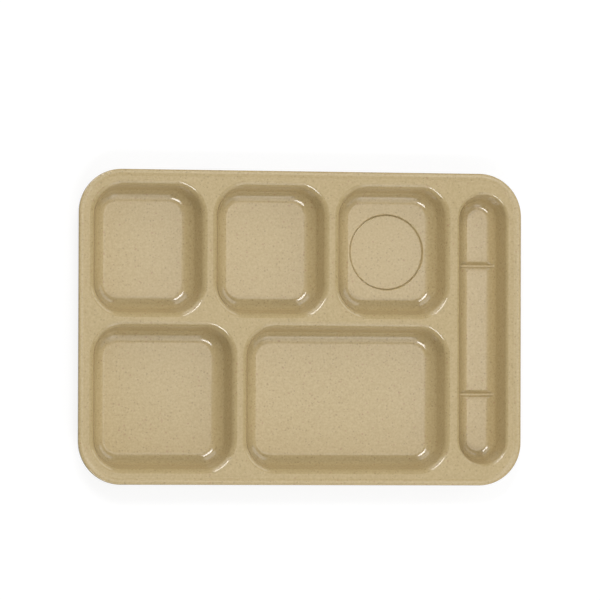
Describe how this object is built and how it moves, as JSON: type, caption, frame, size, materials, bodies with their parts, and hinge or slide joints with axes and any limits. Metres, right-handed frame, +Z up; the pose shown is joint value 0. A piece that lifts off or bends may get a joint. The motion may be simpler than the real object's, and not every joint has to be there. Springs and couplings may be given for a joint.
{
  "type": "compartment tray",
  "caption": "Shallow moulded serving tray with a raised lip, food compartments, a cup recess and a ribbed cutlery slot along its right side.",
  "frame": {"origin": "on the table, under the middle of the tray's outline", "axes": "+X along the tray towards the cutlery slot, +Y towards the row of small compartments, +Z up out of the compartments"},
  "size_m": [0.368, 0.254, 0.0254],
  "materials": {
    "speckled_melamine": "glossy moulded tan with fine brown specks"
  },
  "bodies": {
    "root": {"tray": "speckled_melamine"}
  },
  "joints": []
}
